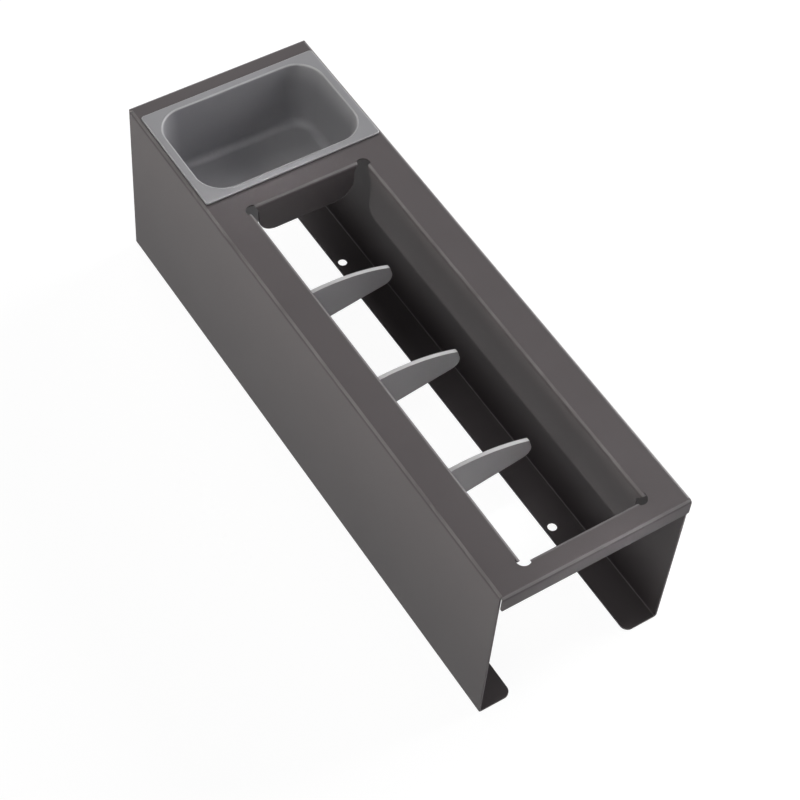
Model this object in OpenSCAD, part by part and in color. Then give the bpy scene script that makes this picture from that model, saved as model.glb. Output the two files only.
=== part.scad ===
// Drawer organizer: a frame folded from one sheet of metal stands in a drawer like a low bridge. A bin
// hangs in its top by the rim, and three dividers clip to the fold along one side of the long opening.
// Millimetres. The origin is on the surface under the feet, at the middle of the frame. X runs across,
// +Y towards the bin and +Z up.

/* [Sheet metal] */
// Thickness of the sheet
sheet_t = 1.5; // [1:0.1:2]
// Inside radius of every bend
bend_r = 1.2; // [0.6:0.1:2]
// Height of the frame, from under the feet to the top
frame_h = 144; // [115:1:180]
// Top strip from the front ends of the walls to the long opening
front_border = 12; // [9:0.5:30]
// Top strip between the long opening and the bin's cut-out
middle_border = 18.8; // [10:0.2:40]
// Top strip from the bin's cut-out to the rear ends of the walls
rear_border = 15.8; // [10:0.2:40]
// Top strip along each side, from the outside of the wall to the long opening
side_border = 24.5; // [15:0.5:30]

/* [Feet] */
// Width of a foot, from the outside of the wall to its free edge
foot_w = 27; // [20:1:40]
// Radius of the feet's free corners
foot_corner_r = 6; // [2:0.5:10]
// Diameter of a screw hole
hole_d = 7; // [4:0.5:8]
// From the centre of a screw hole to the foot's free edge
hole_edge = 6.25; // [5:0.25:9]
// From the centre of a screw hole to the end of the wall
hole_end = 96; // [40:1:140]

/* [Front and rear lips] */
// Depth of a lip, from the top of the frame
lip_h = 13.5; // [8:0.5:30]
// Slit between a lip and the ends of the walls
lip_gap = 0.8; // [0.4:0.1:2]
// From the end of a lip to the outside of the wall
lip_end = 1.15; // [0.5:0.05:3]
// Radius of a lip's lower corners
lip_corner_r = 1.3; // [0.5:0.1:5]

/* [Long opening] */
// Length of the opening, between its front and rear tabs
slot_l = 334.6; // [280:0.2:420]
// Depth of the side flanges, from the top of the frame
flange_h = 44.7; // [36:0.1:55]
// Radius of the flanges' lower corners
flange_corner_r = 8; // [2:0.5:12]
// From the front tab to the front end of a flange
flange_front_inset = 6; // [4:0.5:14]
// From the rear tab to the rear end of a flange
flange_rear_inset = 10.2; // [8:0.2:16]
// Width of the slant at a flange's front end
front_slant_w = 4.7; // [2:0.1:6]
// Depth of the slant at a flange's front end
front_slant_h = 6.3; // [4:0.1:10]
// Width of the slant at a flange's rear end
rear_slant_w = 6.8; // [2:0.1:9]
// Depth of the slant at a flange's rear end
rear_slant_h = 9.2; // [4:0.1:14]
// Width of the front and rear tabs
tab_w = 78; // [50:1:80]
// Depth of the front and rear tabs, from the top of the frame
tab_h = 30.5; // [24:0.5:40]
// Radius of the tabs' lower corners
tab_corner_r = 15; // [4:1:18]
// Width of the slant at each end of a tab
tab_slant_w = 3; // [1:0.1:4]
// Depth of the slant at each end of a tab
tab_slant_h = 7; // [4:0.1:10]
// Radius of the round reliefs in the opening's corners
relief_r = 5.4; // [4:0.1:7]
// From a relief's centre to the faces of the nearest flange and tab
relief_inset = 1.8; // [1:0.1:3]

/* [Bin] */
// Width of the bin's mouth, across the frame
mouth_w = 129.2; // [110:0.2:150]
// Length of the bin's mouth, along the frame
mouth_l = 83; // [60:0.2:120]
// Depth of the bin inside
bin_depth = 56; // [30:1:90]
// Radius of the mouth's corners
mouth_corner_r = 20.5; // [16:0.5:28]
// How far each side leans in from the mouth to the floor
draft = 4.2; // [1:0.1:6]
// Radius between the walls and the floor, inside
floor_r = 7; // [2:0.5:8]
// Thickness of the bin's walls and floor
bin_wall = 1.8; // [1.2:0.1:3]
// Width of the flat rim, from the mouth to its outer edge
rim_w = 6.5; // [4:0.1:10]
// Thickness of the rim
rim_t = 2; // [1.2:0.1:4]
// Radius of the rim's outer corners
rim_corner_r = 2.5; // [1:0.1:6]
// Radius of the edge from the rim into the mouth
mouth_edge_r = 1.6; // [0.6:0.1:2]
// Gap between the bin and its cut-out
bin_clear = 0.4; // [0.2:0.1:1]
// From the rim to the outside of each wall of the frame
rim_margin = 2.9; // [1:0.1:8]

/* [Dividers] */
// Distance from one divider to the next
divider_pitch = 85; // [50:1:95]
// Thickness of a divider's blade
blade_t = 3; // [2:0.1:5]
// Reach of the blade from its root, beside the flange, to its tip
blade_reach = 65.3; // [45:0.1:80]
// Height of the blade at its root
blade_root_h = 36.9; // [26:0.1:44]
// Height of the blade at its tip
blade_tip_h = 14.6; // [12:0.1:20]
// From the top of the frame down to the blade's highest point
blade_drop = 2.5; // [1:0.1:8]
// From the blade's root to its highest point
crest_reach = 10; // [4:0.5:20]
// Radius of the blade's arched upper edge
crest_r = 143; // [110:1:240]
// Radius of the tip's lower corner
tip_r = 7.5; // [3:0.5:9]
// Radius of the tip's upper corner
tip_top_r = 2; // [0.5:0.1:3]
// How far the tip's upper corner stands back from its lower one
tip_lean = 2.3; // [0.5:0.1:4]
// Length of the clip along the flange
clip_l = 20; // [12:1:28]
// Thickness of the clip's legs and floor
clip_t = 2.2; // [1.6:0.1:3]
// Height of the clip's front leg above the flange's lower edge
clip_front_h = 22; // [12:1:30]
// Height of the clip's rear leg above the flange's lower edge
clip_rear_h = 15; // [8:1:26]
// Gap between the clip and the flange on every side
clip_clear = 0.25; // [0.1:0.05:0.5]
// Radius of the clip's outer lower edges
clip_edge_r = 1.2; // [0.4:0.1:1.6]

/* [Hidden] */
$fn = 64;
// How far a cut runs past the face that it opens
over = 1;
// How far a fold laps into the sheet that it hangs from
lap = 0.2;
sheet_colour = [0.35, 0.34, 0.335];
plastic_colour = [0.62, 0.62, 0.64];

bend_outer_r = bend_r + sheet_t;
cutout_w = mouth_w + 2 * (bin_wall + bin_clear);
cutout_l = mouth_l + 2 * (bin_wall + bin_clear);
cutout_r = mouth_corner_r + bin_wall + bin_clear;
slot_flat_l = slot_l + 2 * bend_outer_r;
frame_l = front_border + slot_flat_l + middle_border + cutout_l + rear_border;
frame_w = mouth_w + 2 * (rim_w + rim_margin);
slot_w = frame_w - 2 * (side_border + bend_outer_r);
slot_front = front_border + bend_outer_r - frame_l / 2;
slot_rear = slot_front + slot_l;
slot_y = (slot_front + slot_rear) / 2;
bin_y = slot_rear + bend_outer_r + middle_border + cutout_l / 2;
lip_face = frame_l / 2 + lip_gap + sheet_t;
lip_half_w = frame_w / 2 - lip_end;
foot_edge = frame_w / 2 - foot_w;
hole_x = foot_edge + hole_edge;
hole_y = frame_l / 2 - hole_end;
flange_bottom = frame_h - flange_h;

// Rectangle centred on the origin, with round corners
module rounded_rect(size, r) {
    square([size[0] - 2 * r, size[1]], center = true);
    square([size[0], size[1] - 2 * r], center = true);
    for (sx = [-1, 1], sy = [-1, 1])
        translate([sx * (size[0] / 2 - r), sy * (size[1] / 2 - r)])
            circle(r);
}

// Cross-section of the frame, with +Y up: top, two walls and two feet, joined by four bends
module channel_section() {
    difference() {
        translate([0, frame_h / 2])
            rounded_rect([frame_w, frame_h], bend_outer_r);
        translate([0, frame_h / 2])
            rounded_rect([frame_w - 2 * sheet_t, frame_h - 2 * sheet_t], bend_r);
        translate([-foot_edge, -over])
            square([2 * foot_edge, sheet_t + 2 * over]);
    }
}

module channel() {
    rotate([90, 0, 0])
        linear_extrude(frame_l, center = true)
            channel_section();
}

// Cross-section of a fold, with +Y up. The sheet comes from the left, and the leaf hangs at x = 0.
module fold_section(depth) {
    translate([-bend_outer_r - lap, -sheet_t])
        square([2 * lap, sheet_t]);
    translate([-bend_outer_r, -bend_outer_r])
        intersection() {
            difference() {
                circle(bend_outer_r);
                circle(bend_r);
            }
            square(bend_outer_r);
        }
    translate([-sheet_t, -depth])
        square([sheet_t, depth - bend_outer_r + lap]);
}

// A fold that runs along X. Its leaf's outer face is at y = 0, its top is at z = 0, and the leaf has the
// outline of the children, drawn with +Y up.
module fold(depth) {
    intersection() {
        rotate([90, 0, 90])
            linear_extrude(2 * frame_l, center = true)
                fold_section(depth);
        translate([0, over, 0])
            rotate([90, 0, 0])
                linear_extrude(bend_outer_r + lap + 2 * over)
                    children();
    }
}

// Outline of a leaf between two ends, with round lower corners. It runs past the fold above it.
module leaf(near, far, depth, corner_r) {
    height = depth + over + corner_r;
    translate([(near + far) / 2, height / 2 - depth])
        rounded_rect([far - near, height], corner_r);
}

// Slanted shoulder that widens a leaf towards its bend. It grows towards +X where side is 1.
module shoulder(end, side, slant_w, slant_h) {
    polygon([
        [end - side * lap, -slant_h],
        [end, -slant_h],
        [end + side * slant_w, 0],
        [end + side * slant_w, over],
        [end - side * lap, over]
    ]);
}

module side_flange_outline() {
    near = slot_front + flange_front_inset;
    far = slot_rear - flange_rear_inset;
    leaf(near, far, flange_h, flange_corner_r);
    shoulder(near, -1, front_slant_w, front_slant_h);
    shoulder(far, 1, rear_slant_w, rear_slant_h);
}

module side_flanges() {
    for (side = [0, 1])
        mirror([side, 0, 0])
            translate([slot_w / 2, 0, frame_h])
                rotate([0, 0, 90])
                    fold(flange_h)
                        side_flange_outline();
}

module tab() {
    fold(tab_h) {
        leaf(-tab_w / 2, tab_w / 2, tab_h, tab_corner_r);
        for (side = [-1, 1])
            shoulder(side * tab_w / 2, side, tab_slant_w, tab_slant_h);
    }
}

module tabs() {
    translate([0, slot_front, frame_h])
        tab();
    translate([0, slot_rear, frame_h])
        rotate([0, 0, 180])
            tab();
}

module lips() {
    for (turn = [0, 180])
        rotate([0, 0, turn])
            translate([0, lip_face, frame_h])
                fold(lip_h)
                    leaf(-lip_half_w, lip_half_w, lip_h, lip_corner_r);
}

// The sheet's long opening with its corner reliefs, and the bin's cut-out
module top_cuts() {
    translate([0, 0, frame_h - sheet_t - over])
        linear_extrude(sheet_t + 2 * over) {
            translate([0, slot_y])
                rounded_rect([slot_w + 2 * bend_outer_r, slot_flat_l], relief_inset + bend_outer_r);
            for (sx = [-1, 1], sy = [-1, 1])
                translate([sx * (slot_w / 2 - relief_inset), slot_y + sy * (slot_l / 2 - relief_inset)])
                    circle(relief_r);
            translate([0, bin_y])
                rounded_rect([cutout_w, cutout_l], cutout_r);
        }
}

// Room for a lip's bend at each end of the top
module lip_notches() {
    for (side = [0, 1])
        mirror([0, side, 0])
            translate([-lip_half_w, lip_face - bend_outer_r, frame_h - bend_outer_r])
                cube([2 * lip_half_w, bend_outer_r + over, bend_outer_r + over]);
}

module foot_cuts() {
    for (sx = [-1, 1], sy = [-1, 1]) {
        translate([sx * hole_x, sy * hole_y, -over])
            cylinder(h = sheet_t + 2 * over, d = hole_d);
        translate([sx * foot_edge, sy * frame_l / 2, -over])
            linear_extrude(sheet_t + 2 * over)
                difference() {
                    square(2 * foot_corner_r, center = true);
                    translate([sx * foot_corner_r, -sy * foot_corner_r])
                        circle(foot_corner_r);
                }
    }
}

module frame() {
    top_w = frame_w - 2 * bend_outer_r;
    top_l = 2 * (lip_face - bend_outer_r);
    color(sheet_colour)
        difference() {
            union() {
                difference() {
                    union() {
                        difference() {
                            channel();
                            lip_notches();
                        }
                        translate([-top_w / 2, -top_l / 2, frame_h - sheet_t])
                            cube([top_w, top_l, sheet_t]);
                    }
                    top_cuts();
                }
                side_flanges();
                tabs();
                lips();
            }
            foot_cuts();
        }
}

// Profile of the bin's wall from the centre of its corner, with +Y up from the floor. The wall leans out
// by lean over the height, foot is its reach at the floor, and round_r joins it to the floor.
module wall_profile(foot, lean, height, round_r) {
    angle = atan2(lean, height);
    round_x = foot + round_r * (tan(angle) - 1 / cos(angle));
    polygon([
        [0, 0],
        [round_x, 0],
        [round_x + round_r * cos(angle), round_r * (1 - sin(angle))],
        [foot + lean, height],
        [0, height]
    ]);
    translate([round_x, round_r])
        circle(round_r);
}

// Upright tub with round corners: the children's profile turned about each corner's centre, and run
// between the centres along X and Y, round a block that fills the middle
module tub(reach_x, reach_y, height) {
    translate([-reach_x - lap, -reach_y - lap, 0])
        cube([2 * (reach_x + lap), 2 * (reach_y + lap), height]);
    for (sx = [-1, 1], sy = [-1, 1])
        translate([sx * reach_x, sy * reach_y, 0])
            rotate_extrude()
                children();
    for (turn = [0, 180]) {
        rotate([0, 0, turn])
            translate([reach_x, 0, 0])
                rotate([90, 0, 0])
                    linear_extrude(2 * reach_y, center = true)
                        children();
        rotate([0, 0, turn + 90])
            translate([reach_y, 0, 0])
                rotate([90, 0, 0])
                    linear_extrude(2 * reach_x, center = true)
                        children();
    }
}

// What the bin holds, run on above the rim: the cavity and the rounded edge of its mouth
module bin_space() {
    angle = atan2(draft, bin_depth);
    edge_x = mouth_corner_r + mouth_edge_r * (1 / cos(angle) - tan(angle));
    tub(mouth_w / 2 - mouth_corner_r, mouth_l / 2 - mouth_corner_r, bin_depth + over) {
        wall_profile(mouth_corner_r - draft, draft, bin_depth, floor_r);
        difference() {
            translate([0, bin_depth - mouth_edge_r])
                square([edge_x, mouth_edge_r + over]);
            translate([edge_x, bin_depth - mouth_edge_r])
                circle(mouth_edge_r);
        }
    }
}

// The bin's body from its underside up into the rim
module bin_body() {
    height = bin_depth + bin_wall - rim_t + lap;
    lean = draft * height / bin_depth;
    tub(mouth_w / 2 - mouth_corner_r, mouth_l / 2 - mouth_corner_r, height)
        wall_profile(mouth_corner_r - draft + bin_wall, lean, height, floor_r + bin_wall);
}

module bin() {
    floor_z = frame_h + rim_t - bin_depth;
    color(plastic_colour)
        translate([0, bin_y, 0])
            difference() {
                union() {
                    translate([0, 0, frame_h])
                        linear_extrude(rim_t)
                            rounded_rect([mouth_w + 2 * rim_w, mouth_l + 2 * rim_w], rim_corner_r);
                    translate([0, 0, floor_z - bin_wall])
                        bin_body();
                }
                translate([0, 0, floor_z])
                    bin_space();
            }
}

// The blade's outline, with its root at x = 0 and +Y up from the surface under the feet
module blade_outline() {
    crest = [crest_reach, frame_h - blade_drop - crest_r];
    root_top = crest[1] + sqrt(pow(crest_r, 2) - pow(crest_reach, 2));
    tip_top = crest[1] + sqrt(pow(crest_r, 2) - pow(blade_reach - crest_reach, 2));
    root_bottom = root_top - blade_root_h;
    rise = (tip_top - blade_tip_h - root_bottom) / blade_reach;
    slope = atan(rise);
    low_r = min(tip_r, blade_tip_h / 2);
    low_x = blade_reach - low_r;
    low = [low_x, root_bottom + rise * low_x + low_r / cos(slope)];
    high_x = blade_reach - tip_lean - tip_top_r;
    high = [high_x, crest[1] + sqrt(pow(crest_r - tip_top_r, 2) - pow(high_x - crest_reach, 2))];
    up = (high - crest) / norm(high - crest);
    between = high - low;
    turn = atan2(between[1], between[0]) - acos((low_r - tip_top_r) / norm(between));
    out = [cos(turn), sin(turn)];
    intersection() {
        translate(crest)
            circle(crest_r, $fn = 256);
        polygon([
            [0, root_bottom],
            low + low_r * [sin(slope), -cos(slope)],
            low,
            high,
            high + (tip_top_r + over) * up,
            [high[0] + (tip_top_r + over) * up[0], frame_h],
            [0, frame_h]
        ]);
    }
    polygon([low, low + low_r * out, high + tip_top_r * out, high]);
    translate(low)
        circle(low_r);
    translate(high)
        circle(tip_top_r);
}

// The clip's cross-section, with the blade's root at x = 0 and +Y up
module clip_section() {
    slot = sheet_t + 2 * clip_clear;
    bottom = flange_bottom - clip_clear - clip_t;
    translate([0, bottom + clip_edge_r])
        square([clip_t, flange_bottom + clip_front_h - bottom - clip_edge_r]);
    translate([-slot - clip_t, bottom + clip_edge_r])
        square([clip_t, flange_bottom + clip_rear_h - bottom - clip_edge_r]);
    translate([clip_edge_r - slot - clip_t, bottom])
        square([slot + 2 * (clip_t - clip_edge_r), clip_t]);
    for (x = [clip_edge_r - slot - clip_t, clip_t - clip_edge_r])
        translate([x, bottom + clip_edge_r])
            circle(clip_edge_r);
}

// One moulded piece: the blade, and the clip that hooks up round the left flange's lower edge
module divider(y) {
    root_x = clip_clear - slot_w / 2;
    color(plastic_colour)
        translate([root_x, y, 0])
            rotate([90, 0, 0]) {
                linear_extrude(blade_t, center = true)
                    blade_outline();
                linear_extrude(clip_l, center = true)
                    clip_section();
            }
}

module rear_divider() {
    divider(slot_y + divider_pitch);
}

module middle_divider() {
    divider(slot_y);
}

module front_divider() {
    divider(slot_y - divider_pitch);
}

frame();
bin();
rear_divider();
middle_divider();
front_divider();
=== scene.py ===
# %% [markdown]
# # A drawer organizer in painted sheet metal and satin plastic
#
# The object is a bridge folded from one sheet of metal. A plastic bin hangs in its top, and three plastic
# dividers are clipped along one side of the long opening. The engineering model already has the right
# shapes, so the work here is the part that a drawing leaves out: edges that are never quite sharp, paint
# with a fine grain, moulded plastic, and the light of a product photograph.
#
# Everything is in metres. The origin is on the floor under the middle of the frame, +Y points towards the
# bin and +Z is up.

# %% Load the frame
import math

import bmesh
import bpy
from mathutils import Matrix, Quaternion, Vector


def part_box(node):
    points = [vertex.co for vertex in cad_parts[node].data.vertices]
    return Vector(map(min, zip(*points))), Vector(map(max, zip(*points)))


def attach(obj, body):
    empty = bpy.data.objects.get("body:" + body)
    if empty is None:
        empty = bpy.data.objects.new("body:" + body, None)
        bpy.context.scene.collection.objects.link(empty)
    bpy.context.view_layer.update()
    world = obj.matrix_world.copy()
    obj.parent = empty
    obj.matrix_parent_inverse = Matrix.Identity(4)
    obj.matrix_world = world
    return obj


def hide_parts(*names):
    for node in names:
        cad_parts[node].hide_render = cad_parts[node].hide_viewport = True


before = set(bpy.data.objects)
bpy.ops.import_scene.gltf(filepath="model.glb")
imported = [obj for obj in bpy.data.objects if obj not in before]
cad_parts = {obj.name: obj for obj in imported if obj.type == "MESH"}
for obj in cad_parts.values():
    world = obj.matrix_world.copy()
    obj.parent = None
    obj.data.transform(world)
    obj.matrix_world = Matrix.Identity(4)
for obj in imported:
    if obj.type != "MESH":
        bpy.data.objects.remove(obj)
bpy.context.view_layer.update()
MM = 0.001
print("pieces:", sorted(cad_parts))

# %% [markdown]
# ## Camera
#
# The photograph looks down on the organizer from its front left. The place of the camera was worked out
# from the straight edges of the frame. A camera could be turned by hand until the picture looks right,
# but a place, an aim and a roll written as numbers give the same view each time.

# %% Place the camera
CAMERA_PLACE = Vector((-0.5578, -0.7524, 1.2635))
CAMERA_AIM = Vector((-0.0113, -0.0342, 0.07))
CAMERA_ROLL = math.radians(5.85)
LENS_MM = 97.1

camera_data = bpy.data.cameras.new("photo_camera")
camera_data.lens = LENS_MM
camera = bpy.data.objects.new("photo_camera", camera_data)
bpy.context.scene.collection.objects.link(camera)
bpy.context.scene.camera = camera
camera.location = CAMERA_PLACE
camera.rotation_mode = "QUATERNION"
looking = (CAMERA_AIM - CAMERA_PLACE).to_track_quat("-Z", "Y")
camera.rotation_quaternion = looking @ Quaternion((0, 0, 1), CAMERA_ROLL)
print("camera distance:", round((CAMERA_AIM - CAMERA_PLACE).length, 3))

# %% [markdown]
# ## Grain
#
# Powder coat and moulded plastic both have a skin that is not smooth: paint sets in soft ripples like the
# peel of an orange, and a mould leaves a fine spark-eroded grain. One node group makes both. It gives a
# height for the bump and a slow mottling for colour and roughness, and each material sets its own sizes.
# It reads Object coordinates, which are metres here, so a scale of 1000 is one millimetre.

# %% Build the grain group
NOISE_DETAIL = {"Ripple Scale": 2.0, "Grain Scale": 1.0, "Mottle Scale": 3.0}


def add_node(tree, kind, place, **settings):
    """Adds a node, sets its attributes, and returns it."""
    node = tree.nodes.new(kind)
    node.location = place
    for name, value in settings.items():
        setattr(node, name, value)
    return node


def make_grain_group():
    group = bpy.data.node_groups.new("skin_grain", "ShaderNodeTree")
    socket = group.interface.new_socket
    socket(name="Vector", in_out="INPUT", socket_type="NodeSocketVector")
    for name in ("Ripple Scale", "Grain Scale", "Grain Share", "Mottle Scale"):
        socket(name=name, in_out="INPUT", socket_type="NodeSocketFloat")
    for name in ("Height", "Mottle"):
        socket(name=name, in_out="OUTPUT", socket_type="NodeSocketFloat")
    given = add_node(group, "NodeGroupInput", (-600, 0))
    result = add_node(group, "NodeGroupOutput", (600, 0))
    noises = {}
    for row, (name, detail) in enumerate(NOISE_DETAIL.items()):
        noise = add_node(group, "ShaderNodeTexNoise", (-300, 300 - 300 * row))
        noise.inputs["Detail"].default_value = detail
        group.links.new(given.outputs["Vector"], noise.inputs["Vector"])
        group.links.new(given.outputs[name], noise.inputs["Scale"])
        noises[name] = noise
    height = add_node(group, "ShaderNodeMix", (100, 150), data_type="FLOAT")
    group.links.new(given.outputs["Grain Share"], height.inputs["Factor"])
    group.links.new(noises["Ripple Scale"].outputs["Fac"], height.inputs["A"])
    group.links.new(noises["Grain Scale"].outputs["Fac"], height.inputs["B"])
    group.links.new(height.outputs["Result"], result.inputs["Height"])
    group.links.new(noises["Mottle Scale"].outputs["Fac"], result.inputs["Mottle"])
    return group


grain_group = make_grain_group()
print("group:", grain_group.name, [s.name for s in grain_group.interface.items_tree])

# %% [markdown]
# ## Painted highlights on edges
#
# The upper part of each round is given a paler tone. This is a painted highlight that stands in for the
# light caught along the bends of the sheet, the rim of the bin and the crests of the dividers. A mask from
# the
# Pointiness of the geometry could find the edges, but it works only in one renderer. So each piece here
# marks its highlighted faces with an attribute, and this second group reads it and mixes in the paler
# tone. The mottling makes the painted highlight uneven.

# %% Build the edge group
EDGE_ATTRIBUTE = "pale_edge"
# The painted highlight grows from its least to full while the mottling goes from low to high.
MOTTLE_LOW = 0.3
MOTTLE_HIGH = 0.6
LEAST_HIGHLIGHT = 0.5


def make_highlight_group():
    group = bpy.data.node_groups.new("painted_edge_highlight", "ShaderNodeTree")
    socket = group.interface.new_socket
    for name in ("Color", "Highlight Color"):
        socket(name=name, in_out="INPUT", socket_type="NodeSocketColor")
    socket(name="Mottle", in_out="INPUT", socket_type="NodeSocketFloat")
    socket(name="Color", in_out="OUTPUT", socket_type="NodeSocketColor")
    given = add_node(group, "NodeGroupInput", (-600, 0))
    result = add_node(group, "NodeGroupOutput", (400, 0))
    marked = add_node(group, "ShaderNodeAttribute", (-600, 250), attribute_name=EDGE_ATTRIBUTE)
    uneven = add_node(group, "ShaderNodeMapRange", (-300, 0))
    uneven.inputs["From Min"].default_value = MOTTLE_LOW
    uneven.inputs["From Max"].default_value = MOTTLE_HIGH
    uneven.inputs["To Min"].default_value = LEAST_HIGHLIGHT
    highlight_share = add_node(group, "ShaderNodeMath", (-100, 150), operation="MULTIPLY")
    mixed = add_node(group, "ShaderNodeMix", (150, 0), data_type="RGBA")
    group.links.new(given.outputs["Mottle"], uneven.inputs["Value"])
    group.links.new(marked.outputs["Fac"], highlight_share.inputs[0])
    group.links.new(uneven.outputs["Result"], highlight_share.inputs[1])
    group.links.new(highlight_share.outputs["Value"], mixed.inputs["Factor"])
    group.links.new(given.outputs["Color"], mixed.inputs["A"])
    group.links.new(given.outputs["Highlight Color"], mixed.inputs["B"])
    group.links.new(mixed.outputs["Result"], result.inputs["Color"])
    return group


highlight_group = make_highlight_group()
print("group:", highlight_group.name, [s.name for s in highlight_group.interface.items_tree])

# %% [markdown]
# ## Finishes
#
# The three finishes differ in colour, in gloss and in the size of their grain, so one function builds
# them all. The mottling moves the colour between two close tones and the roughness between two close
# values. The bump is less than a tenth of a millimetre deep, which only breaks up the highlights.

# %% Make the materials


def make_finish(name, dark, light, edge, roughness, specular, grain, bump_depth, bump_strength):
    material = bpy.data.materials.new(name)
    material.use_nodes = True
    tree = material.node_tree
    tree.nodes.clear()
    coordinates = add_node(tree, "ShaderNodeTexCoord", (-900, 0))
    skin = add_node(tree, "ShaderNodeGroup", (-650, 0), node_tree=grain_group)
    for socket_name, value in grain.items():
        skin.inputs[socket_name].default_value = value
    tree.links.new(coordinates.outputs["Object"], skin.inputs["Vector"])
    tone = add_node(tree, "ShaderNodeMix", (-350, 200), data_type="RGBA")
    tone.inputs["A"].default_value = (*dark, 1)
    tone.inputs["B"].default_value = (*light, 1)
    # The edge colour is a painted highlight. It is mixed in on the faces that each piece marks for it.
    highlighted = add_node(tree, "ShaderNodeGroup", (-150, 300), node_tree=highlight_group)
    highlighted.inputs["Highlight Color"].default_value = (*edge, 1)
    rough = add_node(tree, "ShaderNodeMapRange", (-350, -50))
    rough.inputs["To Min"].default_value = roughness[0]
    rough.inputs["To Max"].default_value = roughness[1]
    bump = add_node(tree, "ShaderNodeBump", (-350, -350))
    bump.inputs["Distance"].default_value = bump_depth
    bump.inputs["Strength"].default_value = bump_strength
    shader = add_node(tree, "ShaderNodeBsdfPrincipled", (0, 100))
    shader.inputs["Specular IOR Level"].default_value = specular
    output = add_node(tree, "ShaderNodeOutputMaterial", (350, 100))
    tree.links.new(skin.outputs["Mottle"], tone.inputs["Factor"])
    tree.links.new(skin.outputs["Mottle"], rough.inputs["Value"])
    tree.links.new(skin.outputs["Height"], bump.inputs["Height"])
    tree.links.new(tone.outputs["Result"], highlighted.inputs["Color"])
    tree.links.new(skin.outputs["Mottle"], highlighted.inputs["Mottle"])
    tree.links.new(highlighted.outputs["Color"], shader.inputs["Base Color"])
    tree.links.new(rough.outputs["Result"], shader.inputs["Roughness"])
    tree.links.new(bump.outputs["Normal"], shader.inputs["Normal"])
    tree.links.new(shader.outputs["BSDF"], output.inputs["Surface"])
    return material


PAINT_GRAIN = {"Ripple Scale": 900, "Grain Scale": 2600, "Grain Share": 0.5, "Mottle Scale": 25}
PLASTIC_GRAIN = {"Ripple Scale": 400, "Grain Scale": 3600, "Grain Share": 0.8, "Mottle Scale": 18}
# Each edge colour is a painted highlight, paler than its finish, for the upper part of the rounds.
powder_coat = make_finish(
    "painted_sheet", dark=(0.108, 0.096, 0.099), light=(0.129, 0.115, 0.119), edge=(0.228, 0.216, 0.219),
    roughness=(0.42, 0.50), specular=0.18, grain=PAINT_GRAIN, bump_depth=0.1 * MM, bump_strength=0.6)
bin_plastic = make_finish(
    "moulded_bin", dark=(0.295, 0.293, 0.308), light=(0.339, 0.336, 0.353), edge=(0.520, 0.518, 0.530),
    roughness=(0.34, 0.42), specular=0.4, grain=PLASTIC_GRAIN, bump_depth=0.05 * MM, bump_strength=0.5)
divider_plastic = make_finish(
    "moulded_divider", dark=(0.320, 0.311, 0.321), light=(0.355, 0.346, 0.356), edge=(0.700, 0.690, 0.700),
    roughness=(0.34, 0.42), specular=0.25, grain=PLASTIC_GRAIN, bump_depth=0.05 * MM, bump_strength=0.5)
print("materials:", [m.name for m in (powder_coat, bin_plastic, divider_plastic)])

# %% [markdown]
# ## Rounded edges
#
# No real edge is a knife. A cut edge of sheet metal is rounded by its coat of paint, and a moulding by its
# mould, and that thin round catches the light. A Bevel modifier could round them, but it treats all edges
# alike and shrinks every round to what the shortest edge has room for. So each piece here is a copy made
# with bmesh, where each edge can be chosen. The copy's loose triangles are joined first, and its flat
# areas are made one face each, because a bevel follows whole edges cleanly and stumbles over slivers.

# %% Helpers for rounded copies
JOIN_DISTANCE = 0.001 * MM
FLAT_ANGLE = math.radians(0.5)
CUT_ANGLE = math.radians(50)


def joined_copy(node_name):
    """A bmesh of a CAD node with its triangles joined and each flat area made one face."""
    bm = bmesh.new()
    bm.from_mesh(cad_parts[node_name].data)
    bmesh.ops.remove_doubles(bm, verts=bm.verts, dist=JOIN_DISTANCE)
    bmesh.ops.dissolve_limit(bm, angle_limit=FLAT_ANGLE, verts=bm.verts, edges=bm.edges)
    return bm


def sharp_edges(bm, wanted):
    """The edges that turn by more than CUT_ANGLE and whose middle passes the test wanted."""
    turning = [edge for edge in bm.edges if edge.calc_face_angle(0) > CUT_ANGLE]
    return [edge for edge in turning if wanted((edge.verts[0].co + edge.verts[1].co) / 2)]


def round_off(bm, edges, radius, segments):
    bmesh.ops.bevel(bm, geom=edges, offset=radius, offset_type="OFFSET", affect="EDGES", segments=segments,
                    profile=0.5, material=-1, clamp_overlap=False)


def mark_highlight_faces(bm, is_pale):
    """Marks the faces that pass the test is_pale, for the group that paints a highlight on them."""
    layer = bm.faces.layers.float.new(EDGE_ATTRIBUTE)
    for face in bm.faces:
        face[layer] = 1.0 if is_pale(face) else 0.0
    print("pale faces:", sum(face[layer] > 0 for face in bm.faces))


def place_copy(bm, name, node_name, material):
    """Turns a finished bmesh into a piece that stands for a CAD node and moves with its body."""
    bmesh.ops.remove_doubles(bm, verts=bm.verts, dist=JOIN_DISTANCE)
    for face in bm.faces:
        face.smooth = True
    for edge in bm.edges:
        edge.smooth = edge.calc_face_angle(0) < CUT_ANGLE
    mesh = bpy.data.meshes.new(name)
    bm.to_mesh(mesh)
    bm.free()
    mesh.materials.append(material)
    piece = bpy.data.objects.new(name, mesh)
    bpy.context.scene.collection.objects.link(piece)
    # Weighted normals keep the light on a flat face from being drawn into the round beside it.
    piece.modifiers.new("flat_shading", "WEIGHTED_NORMAL").keep_sharp = True
    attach(piece, node_name)
    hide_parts(node_name)
    print(name, "faces:", len(mesh.polygons))


# %% [markdown]
# ## The folded sheet
#
# The frame is one sheet with a coat of paint, so its cut edges all get the same small round. At the lips'
# corners and in the small reliefs of the slot the bends leave slivers shorter than the round itself. A
# bevel would fold over there, so those few edges are left as they are.

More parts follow.
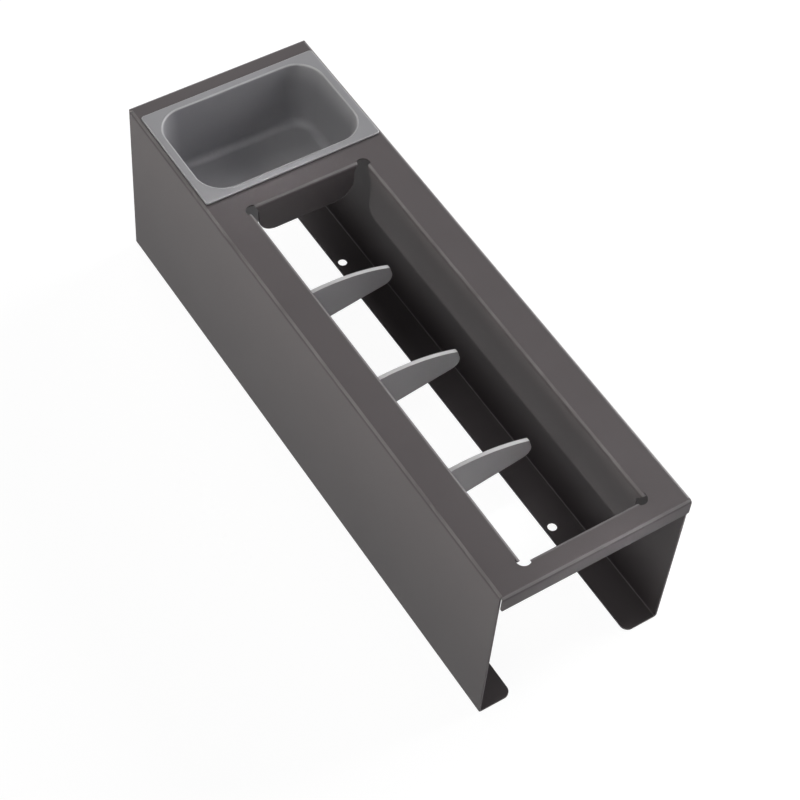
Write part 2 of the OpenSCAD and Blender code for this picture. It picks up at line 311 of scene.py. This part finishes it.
# %% Paint the sheet
PAINTED_ROUND = 0.2 * MM
PAINT_SEGMENTS = 2
# A face whose normal points up by this much is on the upper part of a round, and not on a flat area. Such
# faces get the painted highlight.
PALE_UP_FROM = 0.6
PALE_UP_TO = 0.985
# A lip's corner begins past these distances from the middle of the frame. A relief lies round the other
# place, whose distances are from the middle of the slot.
LIP_CORNER = Vector((71, 235, 130)) * MM
SLOT_MIDDLE_Y = -55 * MM
RELIEF = Vector((45, 166, 136)) * MM
RELIEF_REACH = 7 * MM


def has_room(at):
    """Whether an edge with its middle at this place is long enough to be rounded."""
    in_lip_corner = abs(at.x) > LIP_CORNER.x and abs(at.y) > LIP_CORNER.y and at.z > LIP_CORNER.z
    across = abs(abs(at.x) - RELIEF.x)
    along = abs(abs(at.y - SLOT_MIDDLE_Y) - RELIEF.y)
    in_relief = max(across, along) < RELIEF_REACH and at.z > RELIEF.z
    return not (in_lip_corner or in_relief)


sheet_bm = joined_copy("frame")
round_off(sheet_bm, sharp_edges(sheet_bm, has_room), PAINTED_ROUND, PAINT_SEGMENTS)
# The upper part of the sheet's rounds gets a painted highlight.
mark_highlight_faces(sheet_bm, lambda face: PALE_UP_FROM < face.normal.z < PALE_UP_TO)
place_copy(sheet_bm, "folded_sheet", "frame", powder_coat)

# %% [markdown]
# ## The bin
#
# The rim is rounded on top, where a hand meets it, and turns in more below, which leaves a thin dark line
# between the rim and the sheet that it lies on. The round edge into the cavity is already in the
# engineering shape. The upper part of the rim's rounds gets a painted highlight.

# %% Mould the bin
RIM_TOP_ROUND = 0.7 * MM
RIM_FOOT_ROUND = 1.1 * MM
RIM_EDGE_BAND = 2 * MM
MOULD_SEGMENTS = 3

rim_low, rim_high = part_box("bin")
rim_foot_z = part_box("frame")[1].z


def on_rim_top(at):
    return abs(at.z - rim_high.z) < JOIN_DISTANCE


def on_rim_foot(at):
    inside_x = rim_low.x + RIM_EDGE_BAND < at.x < rim_high.x - RIM_EDGE_BAND
    inside_y = rim_low.y + RIM_EDGE_BAND < at.y < rim_high.y - RIM_EDGE_BAND
    return abs(at.z - rim_foot_z) < JOIN_DISTANCE and not (inside_x and inside_y)


def gets_rim_highlight(face):
    """Whether a face is on an upward round of the rim above the sheet, which gets a painted highlight."""
    return PALE_UP_FROM < face.normal.z < PALE_UP_TO and face.calc_center_median().z > rim_foot_z


bin_bm = joined_copy("bin")
round_off(bin_bm, sharp_edges(bin_bm, on_rim_top), RIM_TOP_ROUND, MOULD_SEGMENTS)
round_off(bin_bm, sharp_edges(bin_bm, on_rim_foot), RIM_FOOT_ROUND, MOULD_SEGMENTS)
# The upper faces of the rim's rounds get a painted highlight.
mark_highlight_faces(bin_bm, gets_rim_highlight)
place_copy(bin_bm, "lift_out_bin", "bin", bin_plastic)

# %% [markdown]
# ## The dividers
#
# Each divider is a thin blade. Its crest and the upper part of its rounds get a painted highlight, a pale
# line along the top.
# The three are the same moulding, and one loop makes them.

# %% Mould the dividers
BLADE_ROUND = 0.3 * MM

for place in ("rear", "middle", "front"):
    node_name = place + "_divider"
    blade_bm = joined_copy(node_name)
    round_off(blade_bm, sharp_edges(blade_bm, lambda at: True), BLADE_ROUND, MOULD_SEGMENTS)
    # The crest and the upper part of the blade's rounds get a painted highlight.
    mark_highlight_faces(blade_bm, lambda face: face.normal.z > PALE_UP_FROM)
    place_copy(blade_bm, place + "_blade", node_name, divider_plastic)

# %% [markdown]
# ## Floor and light
#
# The photograph stands the object on pure white. The floor is white only to the camera and in
# reflections. To the light that bounces back on the object it is a plain pale grey, so that the inside
# of the frame stays as dark as it is in the photograph.

# %% Lay the floor
FLOOR_SIZE = 8.0
FLOOR_BOUNCE = (0.30, 0.30, 0.30, 1)
# What the camera sees is mostly a glow, and the little that is lit by the lamps keeps the shadow.
FLOOR_GLOW = 0.94
FLOOR_LIT = (0.16, 0.16, 0.16, 1)

floor_mesh = bpy.data.meshes.new("floor")
floor_bm = bmesh.new()
bmesh.ops.create_grid(floor_bm, x_segments=1, y_segments=1, size=FLOOR_SIZE / 2)
floor_bm.to_mesh(floor_mesh)
floor_bm.free()
floor = bpy.data.objects.new("floor", floor_mesh)
bpy.context.scene.collection.objects.link(floor)


def seen_directly(tree, place):
    """A value that is 1 for camera, glossy and transmission rays, and 0 for light that bounces."""
    path = add_node(tree, "ShaderNodeLightPath", (place[0] - 400, place[1]))
    first = add_node(tree, "ShaderNodeMath", (place[0] - 200, place[1]), operation="MAXIMUM")
    second = add_node(tree, "ShaderNodeMath", place, operation="MAXIMUM")
    tree.links.new(path.outputs["Is Camera Ray"], first.inputs[0])
    tree.links.new(path.outputs["Is Glossy Ray"], first.inputs[1])
    tree.links.new(first.outputs[0], second.inputs[0])
    tree.links.new(path.outputs["Is Transmission Ray"], second.inputs[1])
    return second.outputs[0]


floor_material = bpy.data.materials.new("floor_white")
floor_material.use_nodes = True
tree = floor_material.node_tree
tree.nodes.clear()
bounce = add_node(tree, "ShaderNodeBsdfDiffuse", (-200, -200))
bounce.inputs["Color"].default_value = FLOOR_BOUNCE
paper = add_node(tree, "ShaderNodeBsdfDiffuse", (-400, 100))
paper.inputs["Color"].default_value = FLOOR_LIT
glow = add_node(tree, "ShaderNodeEmission", (-400, 250))
glow.inputs["Strength"].default_value = FLOOR_GLOW
white = add_node(tree, "ShaderNodeAddShader", (-200, 200))
choice = add_node(tree, "ShaderNodeMixShader", (0, 0))
floor_output = add_node(tree, "ShaderNodeOutputMaterial", (200, 0))
tree.links.new(paper.outputs[0], white.inputs[0])
tree.links.new(glow.outputs[0], white.inputs[1])
tree.links.new(seen_directly(tree, (-200, 450)), choice.inputs["Fac"])
tree.links.new(bounce.outputs[0], choice.inputs[1])
tree.links.new(white.outputs[0], choice.inputs[2])
tree.links.new(choice.outputs[0], floor_output.inputs["Surface"])
floor_mesh.materials.append(floor_material)
print("floor:", FLOOR_SIZE, "m")

# %% [markdown]
# ## Lamps
#
# Ten soft boxes stand round the object, as in a photographer's studio. The brightest one stands low on
# the right, so the tops are lit at a slant while the inside of the frame stays dark. Two wide and narrow-
# beamed ones on the left are aimed over the frame: the edge of their beam gives the left wall its slow
# change from light at the top to dark at the foot. They are a little warm, as that wall is in the
# photograph. A strip and three small spots lift the middle of the top, the front lip and the front of
# the bin's rim, where the photograph has a sheen. An area lamp was chosen over a sun or a point, because
# its size is what makes the shadows soft.

# %% Light the scene
# The world is white to the camera and in reflections, and a dark grey to the light that bounces.
WORLD_SEEN = 1.0
WORLD_GREY = 0.032

world = bpy.data.worlds.new("studio")
bpy.context.scene.world = world
world.use_nodes = True
tree = world.node_tree
tree.nodes.clear()
background = add_node(tree, "ShaderNodeBackground", (0, 0))
background.inputs["Color"].default_value = (1, 1, 1, 1)
world_output = add_node(tree, "ShaderNodeOutputWorld", (200, 0))
level = add_node(tree, "ShaderNodeMapRange", (-200, 0))
level.inputs["To Min"].default_value = WORLD_GREY
level.inputs["To Max"].default_value = WORLD_SEEN
tree.links.new(seen_directly(tree, (-400, 0)), level.inputs["Value"])
tree.links.new(level.outputs["Result"], background.inputs["Strength"])
tree.links.new(background.outputs["Background"], world_output.inputs["Surface"])

FULL_SPREAD = 180.0
WHITE = (1, 1, 1)
WARM = (1, 0.99, 0.93)


def soft_box(name, place, aim, size, power, spread=FULL_SPREAD, colour=WHITE):
    """An area lamp that faces the point aim. The size is its width and height, and a spread under 180
    degrees acts as a grid that narrows the beam."""
    data = bpy.data.lights.new(name, "AREA")
    data.shape = "RECTANGLE"
    data.size, data.size_y = size
    data.energy = power
    data.spread = math.radians(spread)
    data.color = colour
    lamp = bpy.data.objects.new(name, data)
    bpy.context.scene.collection.objects.link(lamp)
    lamp.location = place
    lamp.rotation_mode = "QUATERNION"
    lamp.rotation_quaternion = (Vector(aim) - Vector(place)).to_track_quat("-Z", "Y")


MIDDLE = (0, 0, 0.1)
OVER_LEFT_WALL = (-0.074, -0.05, 0.22)
MIDDLE_OF_TOP = (0, -0.1, 0.146)
FRONT_LIP = (0.02, -0.2, 0.14)
UNDER_FRONT_LIP = (0, -0.2393, 0.122)
BIN_RIM_FRONT = (-0.015, 0.13, 0.146)
soft_box("right_key", (1.6, 0, 0.7), MIDDLE, (1.2, 1.2), 31.1)
soft_box("left_grid", (-1.2, -0.05, 0.25), OVER_LEFT_WALL, (0.9, 0.25), 0.345, spread=20, colour=WARM)
soft_box("left_grid_high", (-0.8, -0.05, 0.7), OVER_LEFT_WALL, (0.9, 0.2), 0.154, spread=34, colour=WARM)
soft_box("left_high", (-0.9, 0, 1.3), MIDDLE, (0.9, 0.9), 1.8)
soft_box("front_low", (0, -1.6, 0.5), MIDDLE, (0.9, 0.9), 2.3)
soft_box("front_strip", (0, -1.1, 1.0), MIDDLE_OF_TOP, (0.04, 0.6), 0.017, spread=8)
soft_box("front_spot", (0.02, -1.3, 0.7), FRONT_LIP, (0.08, 0.08), 0.0134, spread=12)
soft_box("lip_spot", (0, -1.0, 0.89), UNDER_FRONT_LIP, (0.08, 0.02), 0.0038, spread=3)
soft_box("rim_spot", (0.45, 1.0, 1.2), BIN_RIM_FRONT, (0.08, 0.08), 0.0027, spread=4)
soft_box("rear_high", (0, 1.0, 1.3), MIDDLE, (0.9, 0.9), 4.3)

# %% Set the view transform
bpy.context.scene.view_settings.view_transform = "Standard"
